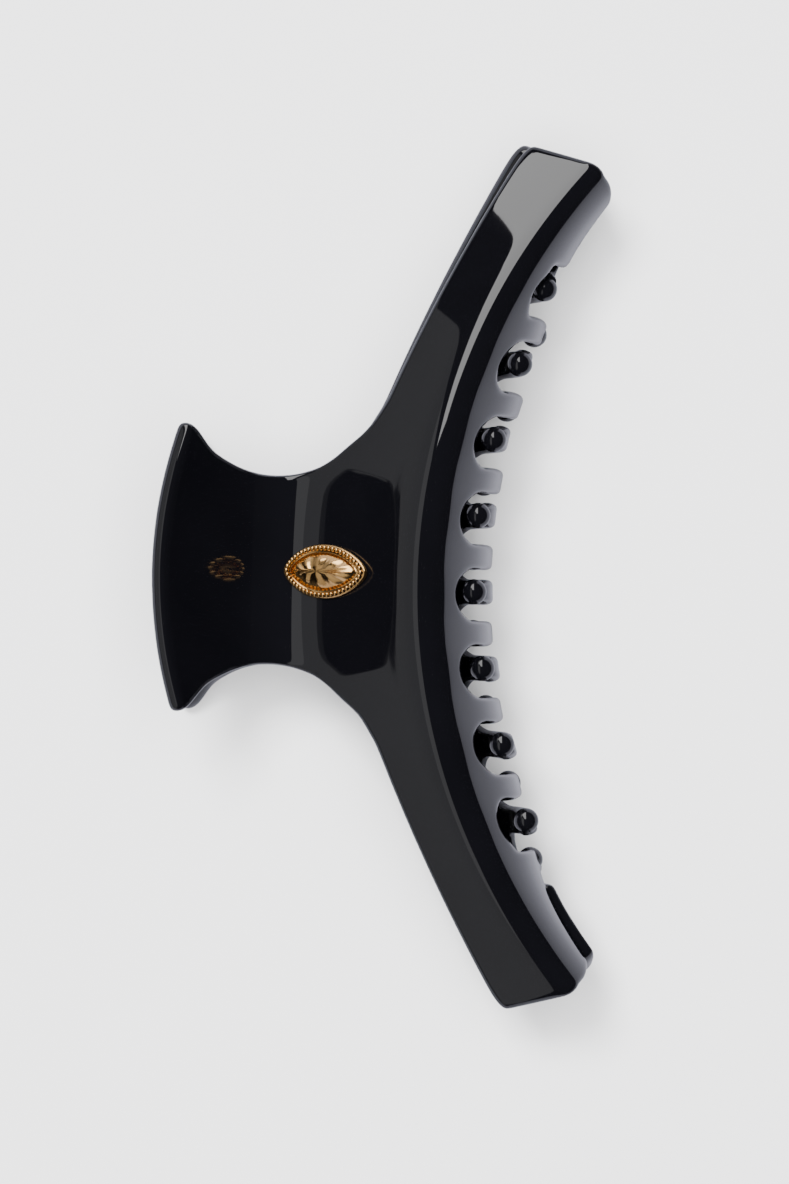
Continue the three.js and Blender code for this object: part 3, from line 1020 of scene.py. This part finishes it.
@dataclass
class TorsionSpring:
    """The wound wire spring on the pin, with a leg under each finger tab."""

    wire: float = 0.45
    coil: float = 2.1
    turns: int = 7
    half_length: float = 4.4
    leg_end: Point = (-11.5, 6.6)
    wire_sides: int = 12
    steps_per_turn: int = 30

    def build(self, name: str, place: Matrix) -> bpy.types.Object:
        """Makes the wire by winding its round section about the pin.

        Args:
            name: the object's name.
            place: from the clip's millimetres to the frame.
        Returns:
            The object.
        """
        reach = math.hypot(*self.leg_end)
        leave = math.atan2(self.leg_end[1], self.leg_end[0]) + math.acos(self.coil / reach)
        start = 2 * math.pi - leave
        sweep = 2 * start + self.turns * 2 * math.pi
        leg = math.sqrt(reach ** 2 - self.coil ** 2)
        steps = round(sweep / (2 * math.pi) * self.steps_per_turn)
        radial = Vector((math.cos(start), 0, math.sin(start)))
        onward = Vector((math.sin(start), 0, -math.cos(start)))
        turned = Matrix((radial, Vector((0, 1, 0)), radial.cross(Vector((0, 1, 0))))).transposed()
        base = Vector((PIN_X, -self.half_length, 0)) + radial * self.coil
        mesh = bmesh.new()
        section = bmesh.ops.create_circle(mesh, segments=self.wire_sides, radius=self.wire, cap_ends=True,
                                          matrix=Matrix.Translation(base) @ turned.to_4x4())
        face = section["verts"][0].link_faces[0]
        wound = bmesh.ops.extrude_face_region(mesh, geom=[face])
        first_leg = [v for v in wound["geom"] if isinstance(v, bmesh.types.BMVert)]
        bmesh.ops.translate(mesh, verts=first_leg, vec=-onward * leg)
        for other in [f for f in mesh.faces if set(f.verts) == set(section["verts"])]:
            bmesh.ops.delete(mesh, geom=[other], context="FACES_ONLY")
        ring = [e for e in mesh.edges if all(v in section["verts"] for v in e.verts)]
        coil = bmesh.ops.spin(mesh, geom=ring, cent=(PIN_X, 0, 0), axis=(0, 1, 0),
                              dvec=(0, 2 * self.half_length / steps, 0), angle=sweep, steps=steps)
        last = [e for e in coil["geom_last"] if isinstance(e, bmesh.types.BMEdge)]
        grown = bmesh.ops.extrude_edge_only(mesh, edges=last)
        tip = [v for v in grown["geom"] if isinstance(v, bmesh.types.BMVert)]
        finish = start - sweep
        final = Vector((math.sin(finish), 0, -math.cos(finish)))
        bmesh.ops.translate(mesh, verts=tip, vec=final * leg)
        tip_edges = [e for e in grown["geom"] if isinstance(e, bmesh.types.BMEdge)
                     and all(v in tip for v in e.verts)]
        bmesh.ops.holes_fill(mesh, edges=tip_edges)
        bmesh.ops.recalc_face_normals(mesh, faces=mesh.faces)
        return bmesh_object(name, mesh, place)


@dataclass
class Ornament:
    """A cast almond-shaped ornament that lies along the plate's slope."""

    surface: JawSurface
    centre_x: float = 4.1
    half_length: float = 6.3
    half_width: float = 3.9
    gap: float = 0.3
    base_height: float = 0.7
    rim_beads: int = 46
    bead: float = 0.42
    peg_offset: float = 3.2
    peg_radius: float = 0.7
    peg_length: float = 2.4
    peg_sides: int = 20
    sides: int = 72
    taper: float = 0.32                   # how much the almond narrows towards its ends
    roundness: float = 0.92
    peak: float = 2.4
    flutes: int = 12
    flute_depth: float = 0.12
    flute_from: Point = (1.2, 0.6)        # the flutes begin this far inside, and deepen over this
    bead_inset: float = 0.42
    bead_lift: float = 0.12

    # Steps of the casting's profile: how far inside the outline, and how high.
    PROFILE = ((0.0, 0.0), (-0.12, 0.2), (-0.12, 0.55), (0.1, 0.72), (0.75, 0.72), (0.85, 0.6),
               (1.15, 0.6), (1.25, 0.85), (1.5, 1.2), (2.1, 1.7), (2.8, 2.1), (3.4, 2.3))

    def on_plate(self, x: float, y: float, z: float) -> Vector:
        """Lays a point of the flat drawing on the plate.

        Args:
            x: along the ornament.
            y: across it.
            z: height above the plate.
        Returns:
            The point in the jaw's millimetres.
        """
        step = 0.01
        at = self.surface.plate(self.centre_x + x, y)
        run = self.surface.plate(self.centre_x + x + step, y) - at
        side = self.surface.plate(self.centre_x + x, y + step) - at
        return at + run.cross(side).normalized() * z

    def outline(self, angle: float, shrink: float) -> Point:
        """Finds a point of the almond outline.

        Args:
            angle: direction around the middle.
            shrink: distance inside the outline.
        Returns:
            The point.
        """
        across = math.sin(angle)
        along = math.cos(angle)
        taper = 1 - self.taper * along * along
        return ((self.half_length - shrink) * math.copysign(abs(along) ** self.roundness, along),
                (self.half_width - shrink) * across * taper)

    def build_body(self, name: str, place: Matrix) -> bpy.types.Object:
        """Makes the almond with its raised, fluted middle.

        Args:
            name: the object's name.
            place: from the jaw's millimetres to the frame.
        Returns:
            The object.
        """
        mesh = bmesh.new()
        ring = bmesh.ops.create_circle(mesh, segments=self.sides, radius=1, cap_ends=True)
        cap = ring["verts"][0].link_faces[0]
        turns = sorted(math.atan2(v.co.y, v.co.x) for v in ring["verts"])
        for number, (shrink, height) in enumerate(self.PROFILE):
            if number:
                grown = bmesh.ops.extrude_face_region(mesh, geom=[cap])
                if number > 1:
                    bmesh.ops.delete(mesh, geom=[cap], context="FACES_ONLY")
                cap = next(f for f in grown["geom"] if isinstance(f, bmesh.types.BMFace))
            by_turn = sorted(cap.verts, key=lambda v: math.atan2(v.co.y, v.co.x))
            inside = clamp01((shrink - self.flute_from[0]) / self.flute_from[1])
            for vert, turn in zip(by_turn, turns):
                flute = self.flute_depth * math.cos(self.flutes * turn) * inside
                vert.co = Vector((*self.outline(turn, shrink), height + flute))
        for vert in bmesh.ops.poke(mesh, faces=[cap])["verts"]:
            vert.co = Vector((0, 0, self.peak))
        for side in (-1, 1):
            spot = Matrix.Translation((side * self.peg_offset, 0, -self.peg_length / 2))
            bmesh.ops.create_cone(mesh, cap_ends=True, segments=self.peg_sides, radius1=self.peg_radius,
                                  radius2=self.peg_radius, depth=self.peg_length, matrix=spot)
        for vert in mesh.verts:
            vert.co = self.on_plate(vert.co.x, vert.co.y, vert.co.z + self.gap)
        bmesh.ops.recalc_face_normals(mesh, faces=mesh.faces)
        return bmesh_object(name, mesh, place)

    def build_beads(self, name: str, place: Matrix) -> bpy.types.Object:
        """Makes the beaded border.

        Args:
            name: the object's name.
            place: from the jaw's millimetres to the frame.
        Returns:
            The object.
        """
        steps = 10 * self.sides
        line = [self.outline(2 * math.pi * i / steps, self.bead_inset) for i in range(steps + 1)]
        mesh = bmesh.new()
        for index in range(self.rim_beads):
            x, y = along_path(line, index / self.rim_beads)
            at = self.on_plate(x, y, self.gap + self.base_height + self.bead_lift)
            bmesh.ops.create_icosphere(mesh, subdivisions=2, radius=self.bead,
                                       matrix=Matrix.Translation(at))
        return bmesh_object(name, mesh, place)


# ---- studio ----
@dataclass(frozen=True)
class Lamp:
    """A soft rectangular light that faces the clip and stays out of its gloss."""

    name: str
    towards: Tuple[float, float, float]    # its place from the clip's middle, in metres
    size: Point
    radiance: float

    def build(self, target: Vector) -> None:
        """Makes the light.

        Args:
            target: the clip's middle.
        """
        data = bpy.data.lights.new(self.name, "AREA")
        data.shape = "RECTANGLE"
        data.size, data.size_y = self.size
        data.energy = self.radiance * math.pi * self.size[0] * self.size[1]
        lamp = link(bpy.data.objects.new(self.name, data))
        lamp.location = target + Vector(self.towards)
        lamp.rotation_mode = "QUATERNION"
        lamp.rotation_quaternion = (-Vector(self.towards)).to_track_quat("-Z", "Y")
        lamp.visible_glossy = False


@dataclass(frozen=True)
class Card:
    """An upright softbox that only the gloss sees, so that it doesn't light the floor."""

    name: str
    facing: str                            # the axis that its plane stands across
    distance: float                        # signed, along that axis, in metres
    sideways: Point                        # its extent along the other level axis
    upwards: Point                         # its extent in height above the clip's middle
    radiance: float

    def build(self, target: Vector) -> None:
        """Makes the card as a rectangular light.

        Args:
            target: the clip's middle.
        """
        data = bpy.data.lights.new(self.name, "AREA")
        data.shape = "RECTANGLE"
        data.size = self.sideways[1] - self.sideways[0]
        data.size_y = self.upwards[1] - self.upwards[0]
        data.energy = self.radiance * math.pi * data.size * data.size_y
        across = sum(self.sideways) / 2
        height = sum(self.upwards) / 2
        level = (self.distance, across) if self.facing == "X" else (across, self.distance)
        card = link(bpy.data.objects.new(self.name, data))
        card.location = target + Vector((*level, height))
        inwards = Vector((-self.distance, 0, 0)) if self.facing == "X" else Vector((0, -self.distance, 0))
        card.rotation_mode = "QUATERNION"
        card.rotation_quaternion = inwards.to_track_quat("-Z", "Y")
        card.visible_diffuse = False


@dataclass
class Studio:
    """A pale floor, soft lights and the camera."""

    placement: Placement
    floor_half: float = 3.0
    shaded_lift: float = 0.0001            # the painted-shade copy of the floor that reflections see lies this much higher
    camera_distance: float = 0.88
    camera_turn: float = math.radians(0.7)
    camera_offset: Point = (0.0023, -0.0027)
    lens: float = 178.0
    room: str = "#303034"                  # what the gloss sees between the softboxes
    lamps: Tuple[Lamp, ...] = (
        Lamp("overhead", (0.0, 0.0, 2.0), (1.2, 1.2), 20.5),
        Lamp("broad_fill", (0.0, 0.0, 1.9), (4.0, 4.0), 0.5),
        Lamp("key", (-0.42, 0.6, 2.0), (0.5, 0.5), 104.0),
    )
    cards: Tuple[Card, ...] = (
        Card("left_panel", "X", -1.0, (-2.3, 0.87), (0.1, 1.3), 0.56),
        Card("left_panel_top", "X", -1.0, (-2.3, 0.87), (1.3, 2.8), 0.95),
        Card("upper_box", "Y", 1.0, (-0.66, 0.0), (0.1, 3.3), 6.2),
    )

    def sheet(self, name: str, finish: Finish, height: float) -> bpy.types.Object:
        """Makes a level sheet as large as the floor.

        Args:
            name: the object's name.
            finish: its paper.
            height: its height in metres.
        Returns:
            The sheet.
        """
        mesh = bmesh.new()
        bmesh.ops.create_grid(mesh, x_segments=1, y_segments=1, size=self.floor_half)
        made = bmesh_object(name, mesh, Matrix.Translation((0, 0, height)))
        made.data.materials.append(finish.build())
        return made

    def build(self) -> None:
        """Makes the floor and its painted-shade copy for reflections, the lights, the world and the
        camera.
        """
        floor = self.sheet("floor", MATT_PAPER, 0.0)
        # Reflections don't see the white floor; they see a painted-shade copy of it, darker and
        # cool-tinted, hidden from camera, diffuse and shadow rays.
        floor.visible_glossy = False
        shaded = self.sheet("painted_shade_floor_in_gloss", PAINTED_SHADE_PAPER, self.shaded_lift)
        shaded.visible_camera = False
        shaded.visible_diffuse = False
        shaded.visible_shadow = False
        target = Vector((0, 0, self.placement.centre.z))
        for lamp in self.lamps:
            lamp.build(target)
        for card in self.cards:
            card.build(target)
        world = bpy.data.worlds.new("dark_room")
        world.use_nodes = True
        background = world.node_tree.nodes["Background"]
        background.inputs["Color"].default_value = colour(self.room)
        background.inputs["Strength"].default_value = 1.0
        bpy.context.scene.world = world
        camera = link(bpy.data.objects.new("camera", bpy.data.cameras.new("camera")))
        camera.data.lens = self.lens
        camera.data.sensor_width = 36.0
        camera.location = (self.camera_offset[0], self.camera_offset[1],
                           self.placement.centre.z + self.camera_distance)
        camera.rotation_euler = (0, 0, self.camera_turn)
        bpy.context.scene.camera = camera


def main() -> None:
    """Builds the clip's looks in order: jaws, tips, lugs, hinge, ornament and studio."""
    logging.basicConfig(level=logging.INFO)
    placement = Placement.from_frame()
    surface = JawSurface()
    plastic = MOULDED_PLASTIC.build()
    gold = PLATED_GOLD.build()
    shell = JawShell(surface, JawOutline())
    for body, place in (("lower_jaw", placement.lower()), ("upper_jaw", placement.upper())):
        jaw = shell.build(f"{body}_shell", place)
        dress(jaw, plastic, body)
        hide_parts(body)
        dress(ToothTips(surface).build(f"{body}_tips", place), plastic, body)
        dress(HingeLugs().build(f"{body}_lugs", place), plastic, body)
        LOG.info("built %s", body)
    pin = HingePin().build("pin_turned", placement.middle())
    dress(pin, DRAWN_STEEL.build(), "lower_jaw")
    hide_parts("hinge_pin")
    wire = TorsionSpring()
    spring = wire.build("spring_wound", placement.middle())
    spring.data.materials.append(SPRING_WIRE.build())
    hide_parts("torsion_spring")
    ends = [placement.middle() @ Vector((PIN_X, side * wire.half_length, 0)) for side in (-1, 1)]
    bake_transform(spring)
    emblem = Ornament(surface)
    body = emblem.build_body("ornament_casting", placement.upper())
    dress(body, gold, "upper_jaw")
    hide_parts("ornament")
    beads = emblem.build_beads("ornament_beads", placement.upper())
    dress(beads, gold, "upper_jaw")
    LOG.info("built hinge and ornament")
    Studio(placement).build()


if __name__ == "__main__":
    main()
